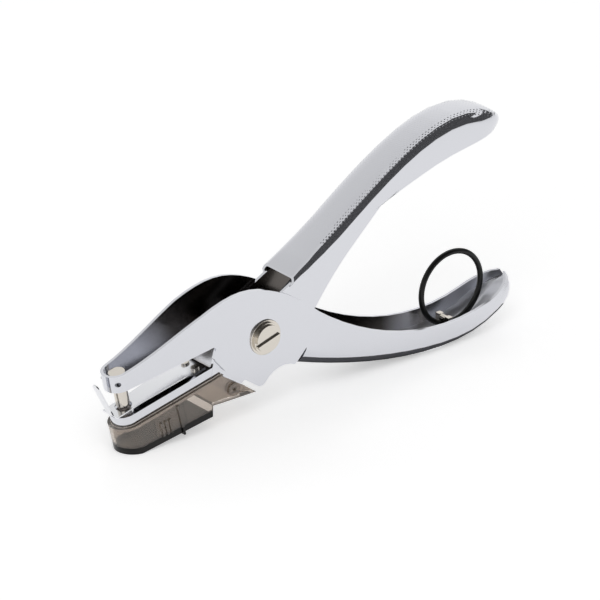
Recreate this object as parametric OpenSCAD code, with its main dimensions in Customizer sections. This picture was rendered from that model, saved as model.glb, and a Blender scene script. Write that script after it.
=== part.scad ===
// Single hole punch: two crossed sheet levers on one pivot, a fixed punch pin in the
// upper jaw, a die in the lower jaw and a smoked chip tray under it.
// X runs from the nose (-X) to the handles (+X), Y across, Z up. It stands on the
// tray and on the lower handle, and the pivot's axis lies along Y.

/* [Sheet levers] */
// Width over the cheeks and handles
body_w = 15; // [13:0.5:20]
// Thickness of the stamped sheet
sheet_t = 1; // [0.8:0.1:1.2]
// Side clearance between the two levers
lever_gap = 0.15; // [0.1:0.05:0.3]
// Radius of the jaws' round noses, outside
nose_r = 4.8; // [4.4:0.1:5.6]
// Bend radius along the back of a handle
bend_r = 5; // [3.5:0.5:5.5]

/* [Handles] */
// Distance from the pivot to the lower handle's tip
handle_reach = 102; // [96:0.5:108]
// Height of the upper handle's tip over the pivot
grip_rise = 44; // [41:0.5:47]
// Depth of the lower handle's bow, at its control point
heel_bow = 34.5; // [33:0.5:37]

/* [Punch] */
// Distance from the pivot to the pin's axis
pin_reach = 50; // [46:1:54]
// Diameter of the punch pin
pin_d = 4.4; // [3.6:0.1:5]
// Length of pin below the upper jaw
pin_len = 7; // [6:0.25:8]
// Diameter of the pin's neck in the jaw floor
pin_neck_d = 3; // [2.4:0.1:3.4]
// Diameter of the pin's head
pin_head_d = 5.2; // [4.6:0.1:5.6]
// Height of the pin's head
pin_head_h = 3.6; // [3:0.1:4.5]
// Diameter of the hollow lock pin beside the head
lock_pin_d = 1.6; // [1.2:0.1:2]
// Gap between the open pin and the lower jaw, as an angle at the pivot
open_angle = 2.3; // [1.5:0.1:3]
// Radial clearance of the pin in the die
die_clear = 0.16; // [0.12:0.02:0.3]

/* [Jaws] */
// Slope of the upper jaw
jaw_tilt = 12; // [10:0.5:14]
// Depth of the lower jaw's side walls
lower_wall_h = 5; // [4.5:0.1:5.5]
// Distance from the pivot to the end of the jaws' plates
throat_reach = 20.5; // [19:0.5:22]

/* [Pivot] */
// Diameter of the screw's head
screw_head_d = 10; // [8:0.5:11]
// Height of the screw's head
screw_head_h = 1.5; // [1:0.1:2]
// Turn of the screw's slot
slot_turn = 16; // [0:1:90]
// Diameter of the screw's shank
screw_d = 4; // [3:0.5:4.5]
// Outer diameter of the bush
bush_d = 6; // [5.5:0.25:6.5]
// Radial running clearance of the lever on the bush
bush_clear = 0.05; // [0.03:0.01:0.1]
// Diameter of the washers
washer_d = 11.4; // [10:0.2:12]
// Thickness of the washers
washer_t = 0.5; // [0.3:0.1:0.8]

/* [Return spring] */
// Diameter of the spring wire
wire_d = 1.2; // [1:0.1:1.3]
// Mean radius of the coil
coil_r = 4.2; // [4.1:0.1:4.6]
// Rise of the coil in one turn
coil_pitch = 1.8; // [1.7:0.05:1.85]
// Whole turns of the coil
coil_turns = 4; // [3:1:4]

/* [Chip tray] */
// Wall of the tray
tray_t = 1; // [0.8:0.1:1.2]
// Clearance between the tray and the lower jaw
tray_gap = 0.15; // [0.1:0.05:0.3]
// Depth of the tray's top edge below the lower jaw's plate
tray_drop = 3.5; // [3:0.1:4]
// Distance from the pivot to the seam of the tray's two halves
seam_reach = 36; // [34:0.5:38]
// Length of the sleeve inside the cap
sleeve_len = 8; // [6:0.5:10]
// Height of the thin fin at the seam
fin_h = 0.7; // [0.4:0.1:1]
// Number of finger ribs on each side of the cap
rib_count = 3; // [2:1:4]
// Spacing of the finger ribs
rib_pitch = 1.6; // [1.4:0.1:2]
// Height of a finger rib
rib_h = 5; // [4:0.5:6]
// Diameter of the studs that hold the tray
stud_d = 2.4; // [2:0.1:2.8]
// Diameter of a stud's head
stud_head_d = 4.4; // [4:0.1:5]

/* [Stripper leaf] */
// Thickness of the leaf
leaf_t = 0.4; // [0.3:0.05:0.5]
// Paper gap under the leaf
leaf_gap = 0.9; // [0.6:0.1:1]
// Length of the turned-up tongue
tongue_len = 13; // [10:0.5:15]
// Width of the tongue
tongue_w = 3; // [2.4:0.2:4]

/* [Carry ring] */
// Outer diameter of the ring
ring_d = 25.4; // [22:0.2:26]
// Thickness of the ring
ring_t = 1.8; // [1.5:0.1:2]
// Diameter of the bar that holds the ring
staple_d = 1.8; // [1.5:0.1:2]
// Lean of the ring towards the tip
ring_lean = 15; // [5:1:18]

/* [Hidden] */
$fn = 48;
// Reach of a cut or a block that passes right through, and how far joined solids run together
far = 40;
overlap = 0.5;
half_w = body_w / 2;
inner_half = half_w - sheet_t - lever_gap;
lower_tilt = jaw_tilt + open_angle;
chrome = [0.84, 0.84, 0.87];
nickel = [0.78, 0.74, 0.68];
smoke = [0.42, 0.38, 0.34, 0.7];

// Handle lines in the XZ plane, measured from the pivot: four control points each
grip_back = [[12, 16.5], [0.392 * handle_reach, 0.75 * grip_rise],
  [0.735 * handle_reach, 1.535 * grip_rise], [0.956 * handle_reach, grip_rise]];
grip_edge = [[10.5, 13.2], [0.3725 * handle_reach, 0.545 * grip_rise],
  [0.5686 * handle_reach, 0.955 * grip_rise], [0.936 * handle_reach, 0.945 * grip_rise]];
plate_edge = [[20, 2.5], [0.353 * handle_reach, 0.568 * grip_rise],
  [0.5686 * handle_reach, 0.94 * grip_rise], [0.941 * handle_reach, 0.977 * grip_rise]];
heel_back = [[14, -13.9], [0.441 * handle_reach, -0.73 * heel_bow],
  [0.87 * handle_reach, -heel_bow], [handle_reach, -0.36 * heel_bow]];
heel_edge = [[21, 2.5], [0.431 * handle_reach, -0.435 * heel_bow],
  [0.735 * handle_reach, -0.7 * heel_bow], [0.98 * handle_reach, -0.27 * heel_bow]];
jaw_crest = [[-60, 0.4], [-42, 1.8], [-25, 17.3], [-9, 17.3]];
cheek_crest = [[-9, 17.3], [1, 17.3], [12.5, 10.2], [21, 2.5]];

function bez(p, t) = pow(1 - t, 3) * p[0] + 3 * pow(1 - t, 2) * t * p[1]
  + 3 * (1 - t) * t * t * p[2] + pow(t, 3) * p[3];
function curve(p, from, to, n) = [for (i = [0:n]) bez(p, from + (to - from) * i / n)];
function arc(c, r, from, to, n) = [for (i = [0:n]) let (a = from + (to - from) * i / n)
  c + r * [cos(a), sin(a)]];

// Height of the ground under the pivot: the lowest point of the lower handle
ground = min([for (p = curve(heel_back, 0, 1, 60)) p[1]]);
leaf_hole_d = pin_d + 1;
leaf_front = pin_reach + nose_r + 0.5;
tongue_tilt = 13;
function jaw_to_pivot(p) = [p[0] * cos(lower_tilt) - p[1] * sin(lower_tilt),
  p[0] * sin(lower_tilt) + p[1] * cos(lower_tilt)];
tongue_x = jaw_to_pivot([-leaf_front - tongue_len * sin(tongue_tilt),
  leaf_gap + tongue_len * cos(tongue_tilt)])[0];
tip_x = max(heel_back[3][0], grip_back[3][0]);
middle_x = (tongue_x + tip_x) / 2;

// Everything is drawn from the pivot and set down on the ground
module placed() {
  translate([-middle_x, 0, -ground]) children();
}
module side(outline, width) {
  rotate([90, 0, 0]) linear_extrude(width, center = true) polygon(outline);
}
module side_plate(outline, outside) {
  for (s = [-1, 1]) translate([0, s * (outside - sheet_t / 2), 0]) side(outline, sheet_t);
}
module in_upper_jaw() {
  rotate([0, -jaw_tilt, 0]) children();
}
module in_lower_jaw() {
  rotate([0, -lower_tilt, 0]) children();
}
module along_y(at, d, length) {
  translate([at[0], 0, at[1]]) rotate([90, 0, 0]) cylinder(d = d, h = length, center = true);
}
// Plan of a jaw: parallel to the throat, then drawn in to a round nose
module jaw_plan(rear_half, front_r, rear_x) {
  inside = front_r / 2;
  union() {
    polygon([[rear_x, -rear_half], [-throat_reach, -rear_half], [-pin_reach, -front_r],
      [-pin_reach - inside, -inside], [-pin_reach - inside, inside], [-pin_reach, front_r],
      [-throat_reach, rear_half], [rear_x, rear_half]]);
    translate([-pin_reach, 0]) circle(front_r);
  }
}
// The same plan as a block between two heights, with a true round nose
module jaw_block(rear_half, front_r, rear_x, low, high) {
  translate([0, 0, low]) union() {
    linear_extrude(high - low) polygon([[rear_x, -rear_half], [-throat_reach, -rear_half],
      [-pin_reach, -front_r], [-pin_reach, front_r], [-throat_reach, rear_half], [rear_x, rear_half]]);
    translate([-pin_reach, 0, 0]) cylinder(r = front_r, h = high - low);
  }
}
module jaw_wall(rear_half, front_r, t, rear_x) {
  difference() {
    jaw_plan(rear_half, front_r, rear_x);
    jaw_plan(rear_half - t, front_r - t, rear_x + 1);
  }
}

// Lofted channel of a handle: rounded back, two walls, a tip drawn in to a round end
tip_from = 0.86;
tip_least = 0.8;
tip_steps = 6;
body_steps = 12;
bend_steps = 4;
function tip_half(u) = u <= tip_from ? half_w
  : max(sheet_t + tip_least, half_w * sqrt(max(0, 1 - pow((u - tip_from) / (1 - tip_from), 2))));
function stations() = concat([for (i = [0:body_steps]) tip_from * i / body_steps],
  [for (i = [1:tip_steps]) tip_from + (1 - tip_from) * sin(88 * i / tip_steps)]);
function bend(w, h, r) = concat([for (i = [0:bend_steps]) let (a = 180 - 90 * i / bend_steps)
  [-w + r + r * cos(a), h - r + r * sin(a)]],
  [for (i = [0:bend_steps]) let (a = 90 - 90 * i / bend_steps)
  [w - r + r * cos(a), h - r + r * sin(a)]]);
// The walls' edges step in to the plates, as far as the plates run, and then fade out
lip_to = 0.42;
lip_fade = 0.2;
lip_h = 1.6;
function lip_in(u, step_in) = u < lip_to ? step_in : step_in * max(0, 1 - (u - lip_to) / lip_fade);
least_bend = 0.3;
function section(w, h, r, lip) = let (t = sheet_t, lh = min(lip_h, h / 3),
    ri = min(max(least_bend, r - t), w - t - 0.2))
  concat([[-w + lip, 0], [-w, lh]], bend(w, h, r), [[w, lh], [w - lip, 0]],
  [[w - lip - t, 0], [w - t, lh]], reverse(bend(w - t, h - t, ri)), [[-w + t, lh], [-w + lip + t, 0]]);
function reverse(v) = [for (i = [len(v) - 1:-1:0]) v[i]];
function station_ring(back, edge, u, step_in) =
  let (b = bez(back, u), e = bez(edge, u), h = norm(b - e), up = (b - e) / h, w = tip_half(u),
    r = min(bend_r, w - 0.05, h * 0.6))
  [for (q = section(w, h, r, lip_in(u, step_in))) [e[0] + up[0] * q[1], q[0], e[1] + up[1] * q[1]]];
// Closed tube through rings of points; each end is closed by a strip from one half to the other
function strip_faces(n, first) = [for (i = [0:n / 2 - 2], half = [0, 1])
  let (a = first + i, b = first + n - 1 - i) half == 0 ? [a, a + 1, b - 1] : [a, b - 1, b]];
module tube_of(rings, flip) {
  n = len(rings[0]);
  m = len(rings);
  near_end = [for (f = strip_faces(n, 0)) reverse(f)];
  sides = [for (k = [0:m - 2], i = [0:n - 1], half = [0, 1]) let (j = (i + 1) % n, a = k * n, b = a + n)
    half == 0 ? [a + i, a + j, b + j] : [a + i, b + j, b + i]];
  faces = concat(near_end, sides, strip_faces(n, (m - 1) * n));
  polyhedron([for (r = rings) each r], flip ? [for (f = faces) reverse(f)] : faces, convexity = 8);
}
module channel(back, edge, step_in, flip) {
  tube_of([for (u = stations()) station_ring(back, edge, u, step_in)], flip);
}

// Outline of a cheek: jaw crest, round top, root of the lower handle, lobe, throat
lobe = [[-19.8, -1.5], [-15.2, -7], [-7.8, -12.1], [-2.4, -15.9]];
lobe_tip = [-0.8, -16];
notch_at = [7.5, -20.6];
notch_r = 9;
cheek = concat(curve(jaw_crest, 0, 1, 14), curve(cheek_crest, 0.12, 1, 8),
  [[24, -1], [24, -5], [16, -8.5], [13, -11.6]],
  arc(notch_at, notch_r, 62, 143, 6), [lobe_tip], reverse(lobe),
  arc([-throat_reach + 0.4, 0.9], 1.4, 30, 110, 3),
  [[-60 * cos(jaw_tilt) - pin_len * sin(jaw_tilt), -60 * sin(jaw_tilt) + pin_len * cos(jaw_tilt)]]);

module main_lever() color(chrome) placed() {
  difference() {
    union() {
      intersection() {
        in_upper_jaw() translate([0, 0, -far]) linear_extrude(2 * far) jaw_wall(half_w, nose_r, sheet_t, far);
        side(cheek, body_w + 2);
      }
      in_upper_jaw() translate([0, 0, pin_len]) linear_extrude(sheet_t) intersection() {
        jaw_plan(half_w, nose_r, 0);
        translate([-2 * pin_reach, -half_w]) square([2 * pin_reach - throat_reach, body_w]);
      }
      channel(heel_back, heel_edge, 0, true);
    }
    along_y([0, 0], screw_d, body_w + 2);
    in_upper_jaw() translate([-pin_reach, 0, 0]) cylinder(d = pin_neck_d, h = 2 * pin_len);
    in_upper_jaw() lock_pin_place() cylinder(d = lock_pin_d, h = 4 * nose_r, center = true);
  }
}

// Punch pin: cutting end, neck through the floor, head notched for the lock pin
lock_off = pin_head_d / 2 + 0.2;
module lock_pin_place() {
  translate([-pin_reach - lock_off, 0, pin_len + sheet_t + pin_head_h / 2]) rotate([90, 0, 0]) children();
}
module punch_pin() color(nickel) placed() in_upper_jaw() difference() {
  translate([-pin_reach, 0, 0]) union() {
    cylinder(d = pin_d, h = pin_len);
    cylinder(d = pin_neck_d, h = pin_len + sheet_t + overlap);
    translate([0, 0, pin_len + sheet_t]) cylinder(d = pin_head_d, h = pin_head_h);
  }
  lock_pin_place() cylinder(d = lock_pin_d, h = 4 * nose_r, center = true);
}
module pin_lock_pin() color([0.3, 0.3, 0.32]) placed() in_upper_jaw() lock_pin_place() difference() {
  half = sqrt(pow(nose_r, 2) - pow(lock_off, 2)) - 0.3;
  cylinder(d = lock_pin_d, h = 2 * half, center = true);
  cylinder(d = lock_pin_d * 0.5, h = 4 * half, center = true);
}

// Pivot: slotted screw from the near cheek, washers, bush between the cheeks, nut behind
screw_end = 3.4;
head_step = 1.2;
slot_w = 1.2;
slot_depth = 0.7;
nut_h = 2.6;
module pivot_screw() color(nickel) placed() {
  length = body_w + 2 * washer_t + screw_end;
  difference() {
    union() {
      translate([0, -half_w - washer_t, 0]) rotate([90, 0, 0]) {
        cylinder(d = screw_head_d, h = screw_head_h * 0.5);
        cylinder(d = screw_head_d - head_step, h = screw_head_h);
      }
      translate([0, -half_w - washer_t - 0.2, 0]) rotate([-90, 0, 0]) cylinder(d = screw_d, h = length);
    }
    translate([0, -half_w - washer_t - screw_head_h, 0]) rotate([0, -slot_turn, 0])
      cube([screw_head_d + 2, 2 * slot_depth, slot_w], center = true);
  }
}
module pivot_washers() color(chrome) placed() {
  for (s = [-1, 1]) translate([0, s * (half_w + washer_t / 2), 0]) rotate([90, 0, 0]) difference() {
    cylinder(d = washer_d, h = washer_t, center = true);
    cylinder(d = screw_d, h = 2 * washer_t, center = true);
  }
}
module pivot_bush() color(nickel) placed() rotate([90, 0, 0]) difference() {
  cylinder(d = bush_d, h = body_w - 2 * sheet_t, center = true);
  cylinder(d = screw_d, h = body_w, center = true);
}
module pivot_nut() color(nickel) placed() translate([0, half_w + washer_t, 0]) rotate([-90, 0, 0])
  difference() {
    cylinder(d = screw_head_d * 0.9, h = nut_h, $fn = 6);
    translate([0, 0, -1]) cylinder(d = screw_d, h = 2 * nut_h);
  }

// Torsion spring: a coil round the bush, one leg up in the grip, one down in the heel
up_leg_angle = 34;
low_leg_angle = -18.4;
up_leg = 33;
low_leg = 38;
coil_from = up_leg_angle + 90;
coil_sweep = 360 * coil_turns + coil_from - (low_leg_angle - 90);
coil_rings = ceil(coil_sweep / 45);
coil_len = coil_pitch * coil_sweep / 360;
function coil_point(i) = let (f = i / coil_rings, a = coil_from - coil_sweep * f)
  [coil_r * cos(a), -coil_len / 2 + coil_len * f, coil_r * sin(a)];
spring_path = concat(
  [for (s = [1, 0.5, 0.15]) [coil_r * cos(coil_from) + up_leg * s * cos(up_leg_angle), -coil_len / 2,
    coil_r * sin(coil_from) + up_leg * s * sin(up_leg_angle)]],
  [for (i = [0:coil_rings]) coil_point(i)],
  [for (s = [0.15, 0.5, 1]) [coil_r * cos(low_leg_angle - 90) + low_leg * s * cos(low_leg_angle),
    coil_len / 2, coil_r * sin(low_leg_angle - 90) + low_leg * s * sin(low_leg_angle)]]);
function unit(v) = v / norm(v);
function wire_ring(i) = let (n = len(spring_path), a = spring_path[max(0, i - 1)],
    b = spring_path[min(n - 1, i + 1)], d = unit(b - a), s = unit(cross(d, [0, 1, 0])), q = cross(s, d))
  [for (k = [0:5]) spring_path[i] + wire_d / 2 * (cos(60 * k) * s + sin(60 * k) * q)];
wire_gap = min([for (i = [0:coil_rings], j = [0:coil_rings]) if (j > i + 4)
  norm(coil_point(i) - coil_point(j))]) - wire_d;
echo(least_gap_between_curls = wire_gap);
module return_spring() color([0.6, 0.6, 0.62]) placed() {
  tube_of([for (i = [0:len(spring_path) - 1]) wire_ring(i)], false);
}

// Carry ring on its staple in the lower handle
staple_at = [0.755 * handle_reach, -0.545 * heel_bow];
ring_hang = ring_d / 2 - ring_t - staple_d / 2 - 0.1;
ring_at = staple_at + ring_hang * [sin(ring_lean), cos(ring_lean)];
staple_half = 2.2;
module ring_staple() color(chrome) placed() {
  along_y(staple_at, staple_d, 2 * staple_half);
  for (s = [-1, 1]) difference() {
    translate([staple_at[0] - staple_d / 2, s * staple_half - staple_d / 2, ground])
      cube([staple_d, staple_d, staple_at[1] - ground + staple_d / 2]);
    heel_fill();
  }
}
// Everything under the inside face of the lower handle's back
module heel_fill() {
  inside = [for (p = curve(heel_back, 0.4, 0.9, 16)) p + [0, sheet_t + 0.1]];
  side(concat(inside, [[inside[16][0], ground - 5], [inside[0][0], ground - 5]]), body_w);
}
module carry_ring() color([0.06, 0.06, 0.06]) placed() translate([ring_at[0], 0, ring_at[1]])
  rotate([90, 0, 0]) rotate_extrude() translate([(ring_d - ring_t) / 2, 0]) circle(d = ring_t, $fn = 24);

// Plate of the moving lever, between the cheeks: grip root, pivot, tray lobe, lower jaw
stud_at = [-12.2, -13.8];
stud_lobe_r = 2.2;
hub_r = 10;
// How far the plates run up into the grip's walls
plate_root = [-0.3, 0.5];
// Where the plates' rear edge turns to the grip's edge, and where it meets it
plate_leaves = 0.3;
plate_meets = 0.47;
// Half width of the lower jaw, stepped in a little from the plates
lower_half = inner_half - 0.05;
lever_plate = concat([[11.5, 14.2], [-18.4, -0.8]],
  [[-20 * cos(lower_tilt), -20 * sin(lower_tilt)]],
  [[-22 * cos(lower_tilt) + lower_wall_h * sin(lower_tilt),
    -22 * sin(lower_tilt) - lower_wall_h * cos(lower_tilt)]],
  arc(stud_at, stud_lobe_r, 190, 300, 5), arc([0, 0], hub_r, 255, 325, 5),
  curve(plate_edge, 0.02, plate_leaves, 6), [bez(grip_edge, plate_meets)],
  reverse([for (p = curve(grip_edge, 0.03, plate_meets - 0.01, 7)) p + plate_root]));
module hand_lever() color(chrome) placed() {
  difference() {
    union() {
      side_plate(lever_plate, inner_half);
      in_lower_jaw() translate([0, 0, -lower_wall_h]) linear_extrude(lower_wall_h)
        jaw_wall(lower_half, nose_r, sheet_t, -throat_reach + 2);
      in_lower_jaw() translate([0, 0, -sheet_t]) linear_extrude(sheet_t) intersection() {
        jaw_plan(lower_half, nose_r, 0);
        translate([-2 * pin_reach, -half_w]) square([2 * pin_reach - throat_reach, body_w]);
      }
      channel(grip_back, grip_edge, half_w - inner_half, false);
    }
    along_y([0, 0], bush_d + 2 * bush_clear, body_w + 2);
    along_y(stud_at, stud_d, body_w + 2);
    in_lower_jaw() translate([-pin_reach, 0, -lower_wall_h]) cylinder(d = pin_d + 4 * die_clear, h = 10);
    in_lower_jaw() rivet_places() cylinder(d = rivet_d, h = 10, center = true);
  }
}
die_h = 2;
die_side_gap = 0.05;
module die_bush() color(nickel) placed() in_lower_jaw()
  translate([-pin_reach, 0, -sheet_t - die_h]) difference() {
    cylinder(r = nose_r - sheet_t - die_side_gap, h = die_h);
    translate([0, 0, -1]) cylinder(d = pin_d + 2 * die_clear, h = 2 * die_h);
  }

// Stripper leaf: raised over the paper gap, riveted at its rear, tongue turned up in front
rivet_d = 1.6;
rivet_half = 2.4;
rivet_head_h = 0.6;
leaf_rear = throat_reach + 1;
leaf_front_half = 0.75 * nose_r;
leaf_rear_half = 0.96 * nose_r;
rivet_off = leaf_rear + 1.4 * rivet_d;
ramp_x = leaf_rear + 3 * rivet_d;
ramp_len = 3.4 * leaf_gap;
leaf_neck = pin_reach - leaf_front_half;
module rivet_places() {
  for (s = [-1, 1]) translate([-rivet_off, s * rivet_half, 0]) children();
}
function leaf_line(off) = [[-leaf_rear, off], [-ramp_x, off], [-ramp_x - ramp_len, leaf_gap + off],
  [-leaf_front, leaf_gap + off]];
module leaf_plan() {
  polygon([[-leaf_rear, -leaf_rear_half], [-ramp_x - ramp_len, -leaf_rear_half],
    [-leaf_neck, -leaf_front_half], [-leaf_front, -leaf_front_half], [-leaf_front, leaf_front_half],
    [-leaf_neck, leaf_front_half], [-ramp_x - ramp_len, leaf_rear_half], [-leaf_rear, leaf_rear_half]]);
}
module stripper_leaf() color(chrome) placed() in_lower_jaw() difference() {
  union() {
    intersection() {
      side(concat(leaf_line(0), reverse(leaf_line(leaf_t))), body_w);
      translate([0, 0, -leaf_gap]) linear_extrude(4 * leaf_gap) leaf_plan();
    }
    translate([-leaf_front, 0, leaf_gap]) rotate([0, -tongue_tilt, 0]) {
      translate([0, -tongue_w / 2, 0]) cube([leaf_t, tongue_w, tongue_len - tongue_w / 2]);
      translate([0, 0, tongue_len - tongue_w / 2]) rotate([0, 90, 0]) cylinder(d = tongue_w, h = leaf_t);
    }
  }
  translate([-pin_reach, 0, 0]) cylinder(d = leaf_hole_d, h = pin_len);
  rivet_places() cylinder(d = rivet_d, h = pin_len, center = true);
}
module leaf_rivets() color(nickel) placed() in_lower_jaw() rivet_places() {
  translate([0, 0, -sheet_t - rivet_head_h]) cylinder(d = rivet_d + 1, h = rivet_head_h);
  translate([0, 0, -sheet_t - rivet_head_h / 2])
    cylinder(d = rivet_d, h = sheet_t + leaf_t + rivet_head_h);
  translate([0, 0, leaf_t]) cylinder(d = rivet_d + 1, h = rivet_head_h);
}

// Chip tray: rear half on two studs, front cap that slides forward over its sleeve
tray_rear_half = inner_half + tray_gap + tray_t;
tray_front_r = nose_r + tray_gap + tray_t;
step_at = [-20, -17.2];
tray_rise = 5;
tray_flat_to = -46;
tray_far = 70;
tray_bottom = [[-tray_far, ground], [tray_flat_to, ground], [step_at[0], ground + tray_rise], step_at];
tray_tail = [[-3.4, -17.3], [-9, -13.3], [-16.4, -8.3]];
seam_gap = 0.05;
sleeve_gap = 0.1;
sleeve_root = 3;
fin_t = 0.7;
fin_sunk = 0.5;
fin_below = 1;
rib_first = 3.4;
rib_w = 0.8;
rib_lift = 2;
function raised(v, h) = [for (p = v) p + [0, h]];
tray_outline = concat(tray_bottom, tray_tail, [jaw_to_pivot([-17.5, -tray_drop]),
  jaw_to_pivot([-tray_far, -tray_drop])]);
function tray_hollow(up) = concat(raised(tray_bottom, up),
  [tray_tail[0] + [0, up], [8, -10], [8, 10], [-tray_far, 10]]);
module tray_shell() {
  intersection() {
    side(tray_outline, body_w + 2);
    in_lower_jaw() jaw_block(tray_rear_half, tray_front_r, far / 2, -far, far / 2);
  }
}
// Room inside the tray, a given distance in from its outside
module tray_room(inset) {
  intersection() {
    side(tray_hollow(inset), body_w + 2);
    in_lower_jaw() jaw_block(tray_rear_half - inset, tray_front_r - inset, far, -far, far / 2);
  }
}
// Slice of the tray between two distances behind the seam, below a height over the jaw's plate
module tray_slice(from, to, top) {
  in_lower_jaw() translate([-seam_reach + from, -body_w, -far]) cube([to - from, 2 * body_w, far + top]);
}
module tray_rear() color(smoke) placed() difference() {
  union() {
    difference() {
      intersection() {
        tray_shell();
        tray_slice(seam_gap, 2 * far, far / 2);
      }
      tray_room(tray_t);
    }
    tray_sleeve();
    seam_fin();
  }
  along_y(stud_at, stud_d, body_w + 4);
}
// Sleeve of the rear half, inside the cap and under the lower jaw's walls
module tray_sleeve() {
  top = -lower_wall_h - tray_gap;
  inset = tray_t + sleeve_gap;
  difference() {
    union() {
      intersection() {
        tray_room(inset);
        tray_slice(-sleeve_len, sleeve_root, top);
      }
      intersection() {
        tray_shell();
        tray_slice(seam_gap, sleeve_root, top);
      }
    }
    tray_room(inset + tray_t);
  }
}
// Half width of the tray's outside at a distance from the pivot along the jaw
function tray_half(reach) = tray_rear_half
  + (tray_front_r - tray_rear_half) * (reach - throat_reach) / (pin_reach - throat_reach);
// Thin fin round the rear half's front edge, standing proud below it
module seam_fin() {
  low = tray_bottom_at(seam_reach) - fin_h;
  half = tray_half(seam_reach);
  for (s = [-1, 1]) in_lower_jaw() translate([-seam_reach + seam_gap, s * (half - fin_sunk), low])
    translate([0, s > 0 ? 0 : -fin_h - fin_sunk, 0])
      cube([fin_t, fin_h + fin_sunk, -tray_drop - fin_below - low]);
  in_lower_jaw() translate([-seam_reach + seam_gap, -half, low]) cube([fin_t, 2 * half, fin_h + fin_sunk]);
}
// Height of the tray's bottom over the jaw's plate, measured along the jaw
function tray_bottom_at(reach) = let (a = tray_bottom[1], b = tray_bottom[2],
    slope = (b[1] - a[1]) / (b[0] - a[0]))
  (a[1] - slope * a[0] + reach * (sin(lower_tilt) - slope * cos(lower_tilt)))
  / (cos(lower_tilt) + slope * sin(lower_tilt));
module tray_cap() color(smoke) placed() {
  difference() {
    tray_shell();
    tray_room(tray_t);
    tray_slice(0, 2 * far, far / 2);
  }
  for (s = [-1, 1], i = [0:rib_count - 1]) in_lower_jaw()
    cap_rib(s, seam_reach + rib_first + i * rib_pitch);
}
module cap_rib(s, reach) {
  low = tray_bottom_at(reach) + rib_lift;
  translate([-reach - rib_w / 2, s * tray_half(reach) - fin_sunk, low])
    cube([rib_w, 2 * fin_sunk, rib_h]);
}
stud_head_h = 0.5;
stud_from = inner_half - sheet_t;
module tray_studs() color(smoke) placed() for (s = [-1, 1]) translate([stud_at[0], 0, stud_at[1]])
  rotate([s * 90, 0, 0]) difference() {
    union() {
      translate([0, 0, tray_rear_half]) cylinder(d = stud_head_d, h = stud_head_h);
      translate([0, 0, stud_from]) cylinder(d = stud_d, h = tray_rear_half + stud_head_h / 2 - stud_from);
      translate([0, 0, stud_from - stud_head_h]) cylinder(d = stud_head_d, h = stud_head_h);
    }
    cylinder(d = stud_d * 0.5, h = body_w);
  }

main_lever();
punch_pin();
pin_lock_pin();
pivot_screw();
pivot_washers();
pivot_bush();
pivot_nut();
return_spring();
ring_staple();
hand_lever();
die_bush();
stripper_leaf();
leaf_rivets();
tray_rear();
tray_studs();
tray_cap();
carry_ring();
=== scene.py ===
import bisect
import math

import bpy
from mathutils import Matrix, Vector
from mathutils.bvhtree import BVHTree


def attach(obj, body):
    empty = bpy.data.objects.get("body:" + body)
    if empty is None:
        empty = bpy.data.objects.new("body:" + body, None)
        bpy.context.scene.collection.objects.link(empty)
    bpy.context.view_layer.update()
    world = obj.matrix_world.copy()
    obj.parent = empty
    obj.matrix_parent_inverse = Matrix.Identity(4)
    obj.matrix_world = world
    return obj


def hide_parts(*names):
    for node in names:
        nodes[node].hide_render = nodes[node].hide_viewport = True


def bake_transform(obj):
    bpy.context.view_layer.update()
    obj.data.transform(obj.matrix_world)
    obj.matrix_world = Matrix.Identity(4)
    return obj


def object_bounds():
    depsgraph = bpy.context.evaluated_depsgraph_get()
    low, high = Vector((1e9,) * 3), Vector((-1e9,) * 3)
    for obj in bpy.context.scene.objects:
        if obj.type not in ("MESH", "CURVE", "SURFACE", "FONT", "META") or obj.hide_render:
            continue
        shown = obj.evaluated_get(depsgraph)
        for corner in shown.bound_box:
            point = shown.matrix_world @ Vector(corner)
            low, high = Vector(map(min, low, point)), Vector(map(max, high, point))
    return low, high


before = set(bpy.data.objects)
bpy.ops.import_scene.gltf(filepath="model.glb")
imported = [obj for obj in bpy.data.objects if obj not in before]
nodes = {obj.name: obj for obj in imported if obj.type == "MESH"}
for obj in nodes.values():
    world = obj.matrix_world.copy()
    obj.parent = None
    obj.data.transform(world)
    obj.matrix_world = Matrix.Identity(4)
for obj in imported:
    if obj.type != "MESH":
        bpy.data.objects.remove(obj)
cad_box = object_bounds()

# Main lever: upper jaw, both cheeks and the lower handle in one stamping of 1 mm steel.
# It is bent up in a press tool, polished and bright chrome plated after bending, with
# a fine diamond knurl rolled into the outside of the handle.
MM = 0.001
PLATE_HEX = "#D6D7DC"
POLISH_ROUGHNESS_FROM = 0.049
POLISH_ROUGHNESS_TO = 0.105
HAZE_MM = 9.0
HAZE_DETAIL = 3.0
HANDLE_FROM_MM = 2.0
HANDLE_FADE_MM = 6.0
BACK_FACING = 0.4
# Painted shade: the next colour darkens the jaw's inward walls in place of the shade in its recess; the
# roughnesses beside it are the real unpolished finish.
INSIDE_SHADE_HEX = "#5E5A57"
INSIDE_ROUGHNESS = 0.1
UNPOLISHED = 0.22
WALL_INSIDE_FROM_MM = 0.4
WALL_INSIDE_TO_MM = 1.6
# Ends along the lever, and fade, of the painted shade on the jaw's inward walls.
JAW_SHADE_FROM_MM = -52.0
JAW_SHADE_TO_MM = 50.0
JAW_SHADE_FADE_MM = 14.0
MAIN_SHADE_ABOVE_MM = 0.0
SHEET_EDGE_MM = 0.12
EDGE_SEGMENTS = 2
JOIN_MM = 0.002
SMOOTH_UNDER_DEG = 34.0
EDGE_OVER_DEG = 65.0


def linear(hex_colour):
    """sRGB hex to the linear RGBA that a shader socket takes."""
    parts = [int(hex_colour[i:i + 2], 16) / 255 for i in (1, 3, 5)]
    return [p / 12.92 if p <= 0.04045 else ((p + 0.055) / 1.055) ** 2.4 for p in parts] + [1.0]


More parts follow.
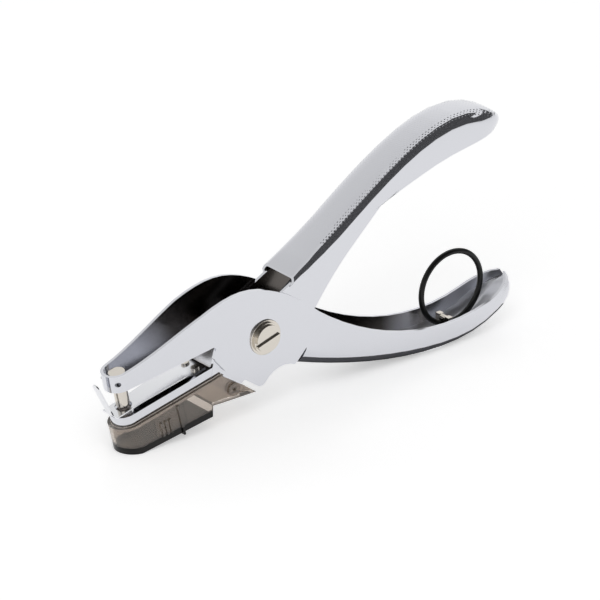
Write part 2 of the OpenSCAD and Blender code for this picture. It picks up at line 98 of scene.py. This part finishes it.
def add(tree, kind, inputs=(), **settings):
    """One node with its settings; inputs are pairs of a socket's name or number and a value or link."""
    made = tree.nodes.new(kind)
    for name, value in settings.items():
        setattr(made, name, value)
    for key, value in inputs:
        if isinstance(value, bpy.types.NodeSocket):
            tree.links.new(value, made.inputs[key])
        else:
            made.inputs[key].default_value = value
    return made


def new_material(name):
    """An empty node material and its tree."""
    made = bpy.data.materials.new(name)
    made.use_nodes = True
    made.node_tree.nodes.clear()
    return made, made.node_tree


def finish_material(tree, shader):
    add(tree, "ShaderNodeOutputMaterial", [("Surface", shader.outputs[0])])


def smoothing_group():
    """Joins the CAD mesh's split corners and shades it smooth, with its real edges kept sharp."""
    group = bpy.data.node_groups.new("smooth_by_angle", "GeometryNodeTree")
    group.interface.new_socket("Geometry", in_out="INPUT", socket_type="NodeSocketGeometry")
    group.interface.new_socket("Geometry", in_out="OUTPUT", socket_type="NodeSocketGeometry")
    start = add(group, "NodeGroupInput")
    bare = add(group, "GeometryNodeRemoveAttribute", [("Geometry", start.outputs[0]),
                                                      ("Name", "custom_normal")])
    joined = add(group, "GeometryNodeMergeByDistance", [("Geometry", bare.outputs[0]),
                                                        ("Distance", JOIN_MM * MM)])
    angle = add(group, "GeometryNodeInputMeshEdgeAngle")
    soft = add(group, "FunctionNodeCompare", [(0, angle.outputs["Unsigned Angle"]),
                                              (1, math.radians(SMOOTH_UNDER_DEG))], operation="LESS_EQUAL")
    faces = add(group, "GeometryNodeSetShadeSmooth", [("Geometry", joined.outputs[0]),
                                                      ("Shade Smooth", True)])
    edges = add(group, "GeometryNodeSetShadeSmooth", [("Geometry", faces.outputs[0]),
                                                      ("Shade Smooth", soft.outputs[0])], domain="EDGE")
    add(group, "NodeGroupOutput", [(0, edges.outputs[0])])
    return group


smooth_by_angle = smoothing_group()


def dress(obj, material, edge_mm=0.0):
    """Gives a piece its material, smooth faces and, where asked, a broken edge that catches light."""
    obj.data.materials.clear()
    obj.data.materials.append(material)
    smooth = obj.modifiers.new("smooth_by_angle", "NODES")
    smooth.node_group = smooth_by_angle
    if edge_mm:
        edge = obj.modifiers.new("broken_edge", "BEVEL")
        edge.width = edge_mm * MM
        edge.segments = EDGE_SEGMENTS
        edge.limit_method = "ANGLE"
        edge.angle_limit = math.radians(EDGE_OVER_DEG)
        edge.harden_normals = True


def chrome_plate(name, outside_up, shade_above_mm):
    """Bright chrome over polished steel: a clear mirror with a faint haze of polishing. Inside the jaw and
    at the handle's root the sheet was never polished, so the plate is dull there. The jaw's inward walls
    are also painted darker, as painted shade in the jaw's recess. It is satin over the inside of a handle,
    which faces down in the upper handle (outside_up 1) and up in the lower one (-1)."""
    made, tree = new_material(name)
    place = add(tree, "ShaderNodeTexCoord").outputs["Object"]
    axis = add(tree, "ShaderNodeSeparateXYZ", [("Vector", place)])
    normal = add(tree, "ShaderNodeNewGeometry").outputs["Normal"]
    facing = add(tree, "ShaderNodeSeparateXYZ", [("Vector", normal)])
    haze = add(tree, "ShaderNodeTexNoise", [("Vector", place), ("Scale", 1 / (HAZE_MM * MM)),
                                            ("Detail", HAZE_DETAIL)])
    polish = add(tree, "ShaderNodeMapRange", [("Value", haze.outputs["Fac"]),
                                              ("To Min", POLISH_ROUGHNESS_FROM),
                                              ("To Max", POLISH_ROUGHNESS_TO)])
    inward = add(tree, "ShaderNodeMath", [(0, facing.outputs["Y"]), (1, axis.outputs["Y"])],
                 operation="MULTIPLY")
    walls_in = add(tree, "ShaderNodeMapRange", [("Value", inward.outputs[0]),
                                                ("From Min", -WALL_INSIDE_FROM_MM * MM),
                                                ("From Max", -WALL_INSIDE_TO_MM * MM)])
    shade_ends = add(tree, "ShaderNodeMapRange", [("Value", axis.outputs["X"]), ("From Min", JAW_SHADE_TO_MM * MM),
                                                 ("From Max", (JAW_SHADE_TO_MM - JAW_SHADE_FADE_MM) * MM)])
    shade_starts = add(tree, "ShaderNodeMapRange", [("Value", axis.outputs["X"]),
                                                   ("From Min", JAW_SHADE_FROM_MM * MM),
                                                   ("From Max", (JAW_SHADE_FROM_MM + JAW_SHADE_FADE_MM) * MM)])
    # Painted shade: the jaw's inward walls between these ends and above a given height take the darker
    # colour.
    middle_part = add(tree, "ShaderNodeMath", [(0, shade_ends.outputs[0]), (1, shade_starts.outputs[0])],
                      operation="MULTIPLY")
    above = add(tree, "ShaderNodeMath", [(0, axis.outputs["Z"]), (1, shade_above_mm * MM)],
                operation="GREATER_THAN")
    in_jaw = add(tree, "ShaderNodeMath", [(0, walls_in.outputs[0]), (1, middle_part.outputs[0])],
                 operation="MULTIPLY")
    painted_shade = add(tree, "ShaderNodeMath", [(0, in_jaw.outputs[0]), (1, above.outputs[0])], operation="MULTIPLY")
    colour = add(tree, "ShaderNodeMix", [(0, painted_shade.outputs[0]), (6, linear(PLATE_HEX)),
                                         (7, linear(INSIDE_SHADE_HEX))], data_type="RGBA")
    rough = add(tree, "ShaderNodeMath", [(0, walls_in.outputs[0]), (1, INSIDE_ROUGHNESS),
                                         (2, polish.outputs[0])], operation="MULTIPLY_ADD")
    handle = add(tree, "ShaderNodeMapRange", [("Value", axis.outputs["X"]), ("From Min", HANDLE_FROM_MM * MM),
                                              ("From Max", (HANDLE_FROM_MM + HANDLE_FADE_MM) * MM)])
    back_face = add(tree, "ShaderNodeMapRange", [("Value", facing.outputs["Z"]), ("From Min", 0.0),
                                                 ("From Max", -BACK_FACING * outside_up),
                                                 ("To Max", UNPOLISHED)])
    satin = add(tree, "ShaderNodeMath", [(0, handle.outputs[0]), (1, back_face.outputs[0]),
                                         (2, rough.outputs[0])], operation="MULTIPLY_ADD")
    shader = add(tree, "ShaderNodeBsdfPrincipled", [("Base Color", colour.outputs[2]), ("Metallic", 1.0),
                                                    ("Roughness", satin.outputs[0])])
    finish_material(tree, shader)
    return made


main_chrome = chrome_plate("bright_chrome_lower_handle", -1, MAIN_SHADE_ABOVE_MM)
dress(nodes["main_lever"], main_chrome, SHEET_EDGE_MM)

# Hand lever: upper handle, its two plates between the cheeks and the lower jaw, in one stamping.
# The same polished and chromed steel, bent over the spring's upper leg.
# Height above which the hand lever's jaw walls take the painted shade.
HAND_SHADE_ABOVE_MM = 22.0
hand_chrome = chrome_plate("bright_chrome_upper_handle", 1, HAND_SHADE_ABOVE_MM)
dress(nodes["hand_lever"], hand_chrome, SHEET_EDGE_MM)

# Knurl: rows of small four-sided points rolled into the outside of both handles before plating.
# Each point is a low pyramid on the CAD surface, its corners just under it.
KNURL_PITCH_MM = 1.3
KNURL_PROUD_MM = 0.05
KNURL_SUNK_MM = 0.035
BEND_MM = 5.0
FLAT_HALF_MM = 2.5
CREST_STEPS = 240
LEAST_FACING = 0.25
UPPER_KNURL_FROM_MM = 2.0
UPPER_KNURL_TO_MM = 74.0
UPPER_KNURL_HALF_MM = 7.4
LOWER_KNURL_FROM_MM = 2.0
LOWER_KNURL_TO_MM = 66.0
LOWER_KNURL_HALF_MM = 8.7


def knurl(name, node, body, material, outside_up, from_mm, to_mm, half_mm):
    """Pyramids in diagonal rows, spaced evenly along the handle's back and round its two bends."""
    solid = nodes[node]
    tree = BVHTree.FromPolygons([solid.matrix_world @ v.co for v in solid.data.vertices],
                                [list(p.vertices) for p in solid.data.polygons])

    def surface(x, y):
        place, normal, _, _ = tree.ray_cast(Vector((x, y, outside_up)), Vector((0, 0, -outside_up)))
        return (place, normal) if place and normal.z * outside_up > LEAST_FACING else (None, None)

    xs = [(from_mm + (to_mm - from_mm) * i / CREST_STEPS) * MM for i in range(CREST_STEPS + 1)]
    crest = [surface(x, 0)[0] for x in xs]
    run = [0.0]
    for here, there in zip(crest, crest[1:]):
        run.append(run[-1] + (there - here).length)

    def at(along, across, lift):
        k = min(bisect.bisect_right(run, along), CREST_STEPS)
        part = (along - run[k - 1]) / (run[k] - run[k - 1])
        x = xs[k - 1] + (xs[k] - xs[k - 1]) * part
        past = abs(across) - FLAT_HALF_MM * MM
        y = across
        if past > 0:
            round_bend = BEND_MM * math.sin(past / (BEND_MM * MM))
            y = math.copysign((FLAT_HALF_MM + round_bend) * MM, across)
        place, normal = surface(x, y)
        if place is None:
            return None
        place = place + normal * lift
        place.z = max(cad_box[0][2], min(cad_box[1][2], place.z))
        return place

    step = KNURL_PITCH_MM * MM / 2
    rows = int(half_mm * MM / step)
    points, faces = [], []
    for i in range(int(run[-1] / step) - 1):
        for j in range(-rows + 1, rows):
            if (i + j) % 2:
                continue
            corners = [at((i + di) * step, (j + dj) * step, -KNURL_SUNK_MM * MM) for di, dj in
                       ((0, 0), (1, 1), (2, 0), (1, -1))]
            top = at((i + 1) * step, j * step, KNURL_PROUD_MM * MM)
            if top is None or None in corners:
                continue
            first = len(points)
            points += corners + [top]
            faces += [(first + k, first + (k + 1) % 4, first + 4) for k in range(4)]
    if outside_up > 0:
        faces = [face[::-1] for face in faces]
    mesh = bpy.data.meshes.new(name)
    mesh.from_pydata(points, [], faces)
    mesh.materials.append(material)
    piece = bpy.data.objects.new(name, mesh)
    bpy.context.scene.collection.objects.link(piece)
    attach(piece, body)


knurl("upper_knurl", "hand_lever", "lever", hand_chrome, 1,
      UPPER_KNURL_FROM_MM, UPPER_KNURL_TO_MM, UPPER_KNURL_HALF_MM)
knurl("lower_knurl", "main_lever", "frame", main_chrome, -1,
      LOWER_KNURL_FROM_MM, LOWER_KNURL_TO_MM, LOWER_KNURL_HALF_MM)

# Punch pin, pivot screw, washers, bush, nut, rivets and staple: small turned or stamped parts of steel.
# Barrel nickel plate gives them a warmer, softer shine than the chrome, broken by fine tool marks,
# which are drawn coarser than the real ones so that they show.
NICKEL_HEX = "#D6D0C7"
NICKEL_ROUGHNESS_FROM = 0.1
NICKEL_ROUGHNESS_TO = 0.2
TURNING_MM = 0.5
TURNING_DETAIL = 2.0
SCREW_EDGE_MM = 0.4
TURNED_EDGE_MM = 0.15
SMALL_EDGE_MM = 0.08


def nickel_plate(name):
    made, tree = new_material(name)
    place = add(tree, "ShaderNodeTexCoord").outputs["Object"]
    grain = add(tree, "ShaderNodeTexNoise", [("Vector", place), ("Scale", 1 / (TURNING_MM * MM)),
                                             ("Detail", TURNING_DETAIL)])
    rough = add(tree, "ShaderNodeMapRange", [("Value", grain.outputs["Fac"]),
                                             ("To Min", NICKEL_ROUGHNESS_FROM),
                                             ("To Max", NICKEL_ROUGHNESS_TO)])
    shader = add(tree, "ShaderNodeBsdfPrincipled", [("Base Color", linear(NICKEL_HEX)), ("Metallic", 1.0),
                                                    ("Roughness", rough.outputs[0])])
    finish_material(tree, shader)
    return made


nickel = nickel_plate("barrel_nickel_plate")
dress(nodes["pivot_screw"], nickel, SCREW_EDGE_MM)
for piece in ("punch_pin", "pivot_nut", "pivot_washers"):
    dress(nodes[piece], nickel, TURNED_EDGE_MM)
for piece in ("pivot_bush", "leaf_rivets", "ring_staple"):
    dress(nodes[piece], nickel, SMALL_EDGE_MM)

# Return spring and lock pin: drawn spring steel, left grey from the wire mill and lightly oiled.
# The spring's lower leg lies in the lower handle and stays there, and its upper leg turns with
# the upper handle; a copy of the CAD coil takes the CAD spring's place.
WIRE_HEX = "#7B7D82"
WIRE_ROUGHNESS_FROM = 0.25
WIRE_ROUGHNESS_TO = 0.42
DRAW_LINE_MM = 0.25


def drawn_wire(name):
    """Grey wire with a dull shine that varies from spot to spot, drawn coarser than real so that it shows."""
    made, tree = new_material(name)
    place = add(tree, "ShaderNodeTexCoord").outputs["Object"]
    lines = add(tree, "ShaderNodeTexNoise", [("Vector", place), ("Scale", 1 / (DRAW_LINE_MM * MM))])
    rough = add(tree, "ShaderNodeMapRange", [("Value", lines.outputs["Fac"]), ("To Min", WIRE_ROUGHNESS_FROM),
                                             ("To Max", WIRE_ROUGHNESS_TO)])
    shader = add(tree, "ShaderNodeBsdfPrincipled", [("Base Color", linear(WIRE_HEX)), ("Metallic", 1.0),
                                                    ("Roughness", rough.outputs[0])])
    finish_material(tree, shader)
    return made


wire = drawn_wire("drawn_spring_wire")
dress(nodes["pin_lock_pin"], wire)
coil_mesh = nodes["return_spring"].data.copy()
coil_mesh.transform(nodes["return_spring"].matrix_world)
coil = bpy.data.objects.new("return_spring_wire", coil_mesh)
bpy.context.scene.collection.objects.link(coil)
dress(coil, wire)
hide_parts("return_spring")
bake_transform(coil)

# Die: a ring of hardened tool steel, the lower cutting edge.
# It is ground all over, which leaves it grey and satin, and pressed under the lower jaw's plate.
DIE_HEX = "#8C8C90"
DIE_ROUGHNESS = 0.3
DIE_EDGE_MM = 0.08
GRINDING_MM = 0.3
GRIT_SPREAD = 0.3
GRIT_DETAIL = 2.0
STREAK_LENGTHS = 10.0


def ground_steel(name, hex_colour, roughness, grit_mm):
    """Steel from a grinding wheel or a rolling mill: fine streaks in one direction."""
    made, tree = new_material(name)
    place = add(tree, "ShaderNodeTexCoord").outputs["Object"]
    across = 1 / (grit_mm * MM)
    streaks = add(tree, "ShaderNodeMapping", [("Vector", place),
                                              ("Scale", (across / STREAK_LENGTHS, across, across))])
    grit = add(tree, "ShaderNodeTexNoise", [("Vector", streaks.outputs[0]), ("Scale", 1.0),
                                            ("Detail", GRIT_DETAIL)])
    rough = add(tree, "ShaderNodeMapRange", [("Value", grit.outputs["Fac"]),
                                             ("To Min", roughness * (1 - GRIT_SPREAD)),
                                             ("To Max", roughness * (1 + GRIT_SPREAD))])
    shader = add(tree, "ShaderNodeBsdfPrincipled", [("Base Color", linear(hex_colour)), ("Metallic", 1.0),
                                                    ("Roughness", rough.outputs[0])])
    finish_material(tree, shader)
    return made


die_steel = ground_steel("ground_tool_steel", DIE_HEX, DIE_ROUGHNESS, GRINDING_MM)
dress(nodes["die_bush"], die_steel, DIE_EDGE_MM)

# Stripper leaf: a strip of bright rolled spring steel, 0.4 mm thick, that strips the paper off the pin.
# It is cut and bent in a press and riveted over the lower jaw; rolling leaves it bright and streaked.
LEAF_HEX = "#E2E3E6"
LEAF_ROUGHNESS = 0.16
ROLLING_MM = 0.4
leaf_steel = ground_steel("bright_rolled_strip", LEAF_HEX, LEAF_ROUGHNESS, ROLLING_MM)
dress(nodes["stripper_leaf"], leaf_steel)

# Chip tray in two halves, with snap studs: smoked polystyrene, injection moulded in polished tools.
# The wall is see-through and mirrors little; the floor is thicker than the walls and shows as a
# near black foot.
SMOKE_HEX = "#D0C5BA"
FOOT_HEX = "#121110"
FOOT_MM = 2.2
FOOT_FADE_MM = 0.15
FOOT_RISE = 5.0 / 26.0
FOOT_FLAT_TO_MM = -67.1
FOOT_END_MM = -41.2
MOULD_WAVE_MM = 14.0
TRAY_ROUGHNESS_FROM = 0.04
TRAY_ROUGHNESS_TO = 0.1
POLYSTYRENE_IOR = 1.59
TRAY_EDGE_MM = 0.1
STUD_EDGE_MM = 0.08
CLEARNESS = 0.9
TRAY_GLOSS = 0.2


def smoked_plastic(name):
    """Clear brown-grey plastic with the slow waves of a moulded face, and the near black foot below."""
    made, tree = new_material(name)
    place = add(tree, "ShaderNodeTexCoord").outputs["Object"]
    axis = add(tree, "ShaderNodeSeparateXYZ", [("Vector", place)])
    wave = add(tree, "ShaderNodeTexNoise", [("Vector", place), ("Scale", 1 / (MOULD_WAVE_MM * MM))])
    rough = add(tree, "ShaderNodeMapRange", [("Value", wave.outputs["Fac"]), ("To Min", TRAY_ROUGHNESS_FROM),
                                             ("To Max", TRAY_ROUGHNESS_TO)])
    past_flat = add(tree, "ShaderNodeMath", [(0, axis.outputs["X"]), (1, FOOT_FLAT_TO_MM * MM)],
                    operation="SUBTRACT")
    rise = add(tree, "ShaderNodeMath", [(0, past_flat.outputs[0]), (1, 0.0)], operation="MAXIMUM")
    lift = add(tree, "ShaderNodeMath", [(0, rise.outputs[0]), (1, -FOOT_RISE), (2, axis.outputs["Z"])],
               operation="MULTIPLY_ADD")
    low = add(tree, "ShaderNodeMapRange", [("Value", lift.outputs[0]),
                                           ("From Min", (FOOT_MM + FOOT_FADE_MM) * MM),
                                           ("From Max", FOOT_MM * MM)])
    front = add(tree, "ShaderNodeMath", [(0, axis.outputs["X"]), (1, FOOT_END_MM * MM)],
                operation="LESS_THAN")
    foot = add(tree, "ShaderNodeMath", [(0, low.outputs[0]), (1, front.outputs[0])], operation="MULTIPLY")
    colour = add(tree, "ShaderNodeMix", [(0, foot.outputs[0]), (6, linear(SMOKE_HEX)), (7, linear(FOOT_HEX))],
                 data_type="RGBA")
    clear = add(tree, "ShaderNodeMapRange", [("Value", foot.outputs[0]), ("To Min", CLEARNESS),
                                             ("To Max", 0.0)])
    shader = add(tree, "ShaderNodeBsdfPrincipled", [
        ("Base Color", colour.outputs[2]), ("Roughness", rough.outputs[0]), ("IOR", POLYSTYRENE_IOR),
        ("Transmission Weight", clear.outputs[0]), ("Specular IOR Level", TRAY_GLOSS)])
    finish_material(tree, shader)
    return made


smoke = smoked_plastic("smoked_polystyrene")
for piece in ("tray_rear", "tray_cap"):
    dress(nodes[piece], smoke, TRAY_EDGE_MM)
dress(nodes["tray_studs"], smoke, STUD_EDGE_MM)

# Carry ring: a loop of moulded black rubber, sprung over the staple in the lower handle.
# The moulded skin is smooth and a little shiny, with a faint grain drawn coarser than real so that it shows.
RUBBER_HEX = "#0A0A0A"
RUBBER_GLOSS = 0.28
RUBBER_ROUGHNESS_FROM = 0.26
RUBBER_ROUGHNESS_TO = 0.38
SKIN_MM = 0.6


def moulded_rubber(name):
    made, tree = new_material(name)
    place = add(tree, "ShaderNodeTexCoord").outputs["Object"]
    skin = add(tree, "ShaderNodeTexNoise", [("Vector", place), ("Scale", 1 / (SKIN_MM * MM))])
    rough = add(tree, "ShaderNodeMapRange", [("Value", skin.outputs["Fac"]),
                                             ("To Min", RUBBER_ROUGHNESS_FROM),
                                             ("To Max", RUBBER_ROUGHNESS_TO)])
    shader = add(tree, "ShaderNodeBsdfPrincipled", [("Base Color", linear(RUBBER_HEX)),
                                                    ("Specular IOR Level", RUBBER_GLOSS),
                                                    ("Roughness", rough.outputs[0])])
    finish_material(tree, shader)
    return made


dress(nodes["carry_ring"], moulded_rubber("moulded_black_rubber"))

# Floor: a wide sheet of white studio paper under the punch; it takes the shadow and shows white
# to the camera and in the chrome.
FLOOR_M = 6.0
PAPER_HEX = "#F4F4F4"
PAPER_GLOW = 0.44
PAPER_ROUGHNESS = 0.9


def seen_rays(tree):
    """1 for rays from the camera and for mirror and see-through rays, else 0."""
    path = add(tree, "ShaderNodeLightPath")
    some = add(tree, "ShaderNodeMath", [(0, path.outputs["Is Camera Ray"]),
                                        (1, path.outputs["Is Glossy Ray"])], operation="MAXIMUM")
    return add(tree, "ShaderNodeMath", [(0, some.outputs[0]), (1, path.outputs["Is Transmission Ray"])],
               operation="MAXIMUM").outputs[0]


floor_mesh = bpy.data.meshes.new("floor")
floor_corners = [(x * FLOOR_M, y * FLOOR_M, 0) for x, y in ((-1, -1), (1, -1), (1, 1), (-1, 1))]
floor_mesh.from_pydata(floor_corners, [], [(0, 1, 2, 3)])
floor = bpy.data.objects.new("floor", floor_mesh)
bpy.context.scene.collection.objects.link(floor)
paper, paper_tree = new_material("white_studio_paper")
glow = add(paper_tree, "ShaderNodeMath", [(0, seen_rays(paper_tree)), (1, PAPER_GLOW)], operation="MULTIPLY")
finish_material(paper_tree, add(paper_tree, "ShaderNodeBsdfPrincipled", [
    ("Base Color", linear(PAPER_HEX)), ("Roughness", PAPER_ROUGHNESS), ("Specular IOR Level", 0.0),
    ("Emission Color", linear("#FFFFFF")), ("Emission Strength", glow.outputs[0])]))
floor_mesh.materials.append(paper)

# Room: white painted walls far away, which light the punch dimly from all round.
# They are white to the eye and in the chrome, with one greyer wall high behind the punch on the left.
ROOM_LIGHT = 0.45
GREY_WALL = 0.74
GREY_WALL_FROM = 0.45
GREY_WALL_AT = (-0.5, 0.5, 0.7)
world = bpy.data.worlds.new("white_room")
world.use_nodes = True
world.node_tree.nodes.clear()
room = world.node_tree
way = add(room, "ShaderNodeTexCoord").outputs["Generated"]
towards = add(room, "ShaderNodeVectorMath", [(0, way), (1, Vector(GREY_WALL_AT).normalized())],
              operation="DOT_PRODUCT")
wall = add(room, "ShaderNodeMapRange", [("Value", towards.outputs["Value"]), ("From Min", GREY_WALL_FROM),
                                        ("To Min", 1.0), ("To Max", GREY_WALL)])
strength = add(room, "ShaderNodeMapRange", [("Value", seen_rays(room)), ("To Min", ROOM_LIGHT),
                                            ("To Max", wall.outputs[0])])
walls = add(room, "ShaderNodeBackground", [("Color", linear("#FFFFFF")), ("Strength", strength.outputs[0])])
add(room, "ShaderNodeOutputWorld", [("Surface", walls.outputs[0])])
bpy.context.scene.world = world

# Flags: dark grey studio boards out of the picture. One stands on the camera's side, one lies flat high
# above that side and one stands beyond the handles' end. A fourth, flat card under the lower handle is
# painted shadow: it stands for the shade on the paper there. They are seen only in mirror images,
# where they draw the dark lines along the chrome's bends.
FLAG_AND_SHADOW_HEX = "#767678"
TALL_FLAG_M = ((-1.6, -1.6, 0.05), (2.4, -1.6, 0.05), (2.4, -1.6, 1.7), (-1.6, -1.6, 1.7))
HIGH_FLAG_M = ((-1.4, -1.6, 1.7), (2.4, -1.6, 1.7), (2.4, -0.22, 1.7), (-1.4, -0.22, 1.7))
SIDE_FLAG_M = ((2.4, -1.6, 0.05), (2.4, 0.9, 0.05), (2.4, 0.9, 1.2), (2.4, -1.6, 1.2))
# Painted shadow: a dark card just above the paper under the lower handle, seen only in the chrome.
FLOOR_SHADOW_CARD_M = ((-0.012, -0.012, 0.0004), (0.085, -0.006, 0.0004),
               (0.085, 0.011, 0.0004), (-0.012, 0.011, 0.0004))
board, board_tree = new_material("dark_grey_flag_and_shadow_card")
finish_material(board_tree, add(board_tree, "ShaderNodeBsdfDiffuse", [("Color", linear(FLAG_AND_SHADOW_HEX))]))
for name, corners in (("tall_flag", TALL_FLAG_M), ("high_flag", HIGH_FLAG_M), ("side_flag", SIDE_FLAG_M),
                      ("floor_shadow_card", FLOOR_SHADOW_CARD_M)):
    card_mesh = bpy.data.meshes.new(name)
    card_mesh.from_pydata(corners, [], [(0, 1, 2, 3)])
    card_mesh.materials.append(board)
    card = bpy.data.objects.new(name, card_mesh)
    bpy.context.scene.collection.objects.link(card)
    card.visible_camera = False
    card.visible_diffuse = False
    card.visible_shadow = False
    card.visible_transmission = False

# Lamps: a large soft box high on the camera's side, towards the nose, and a smaller one behind the handles.
# Both are aimed at the middle of the punch and stay out of the chrome's mirror images.
SOFT_BOX_AT_M = (-0.5, -0.55, 0.9)
SOFT_BOX_M = 0.7
SOFT_BOX_W = 3.0
BACK_BOX_AT_M = (0.6, 0.7, 0.6)
BACK_BOX_M = 0.5
BACK_BOX_W = 1.0
LAMP_AIM_MM = 30.0
middle = Vector((0, 0, LAMP_AIM_MM * MM))
for name, place, width, power in (("soft_box", SOFT_BOX_AT_M, SOFT_BOX_M, SOFT_BOX_W),
                                  ("back_box", BACK_BOX_AT_M, BACK_BOX_M, BACK_BOX_W)):
    lamp = bpy.data.lights.new(name, "AREA")
    lamp.size = width
    lamp.energy = power
    holder = bpy.data.objects.new(name, lamp)
    holder.location = Vector(place)
    holder.rotation_euler = (middle - Vector(place)).to_track_quat("-Z", "Y").to_euler()
    holder.visible_glossy = False
    bpy.context.scene.collection.objects.link(holder)

# Camera: the photograph's view, 39 degrees round to the nose and 25 degrees up.
# A long lens from far away keeps the levers' lines nearly parallel, as the photograph has them.
ROUND = math.radians(39)
UP = math.radians(25)
AIM_MM = (-9.89, -10.49, 35.99)
NEAR_M = 0.01
PIXELS = 600
PIXELS_PER_MM = 3.3
LENS_MM = 600.0
SENSOR_MM = 36.0
aim = Vector(AIM_MM) * MM
back = Vector((-math.cos(UP) * math.sin(ROUND), -math.cos(UP) * math.cos(ROUND), math.sin(UP)))
lens = bpy.data.cameras.new("photo_camera")
lens.lens = LENS_MM
lens.sensor_width = SENSOR_MM
lens.clip_start = NEAR_M
camera = bpy.data.objects.new("photo_camera", lens)
camera.location = aim + back * (PIXELS / PIXELS_PER_MM * MM * LENS_MM / SENSOR_MM)
camera.rotation_euler = back.to_track_quat("Z", "Y").to_euler()
bpy.context.scene.collection.objects.link(camera)
bpy.context.scene.camera = camera
bpy.context.scene.view_settings.view_transform = "Standard"
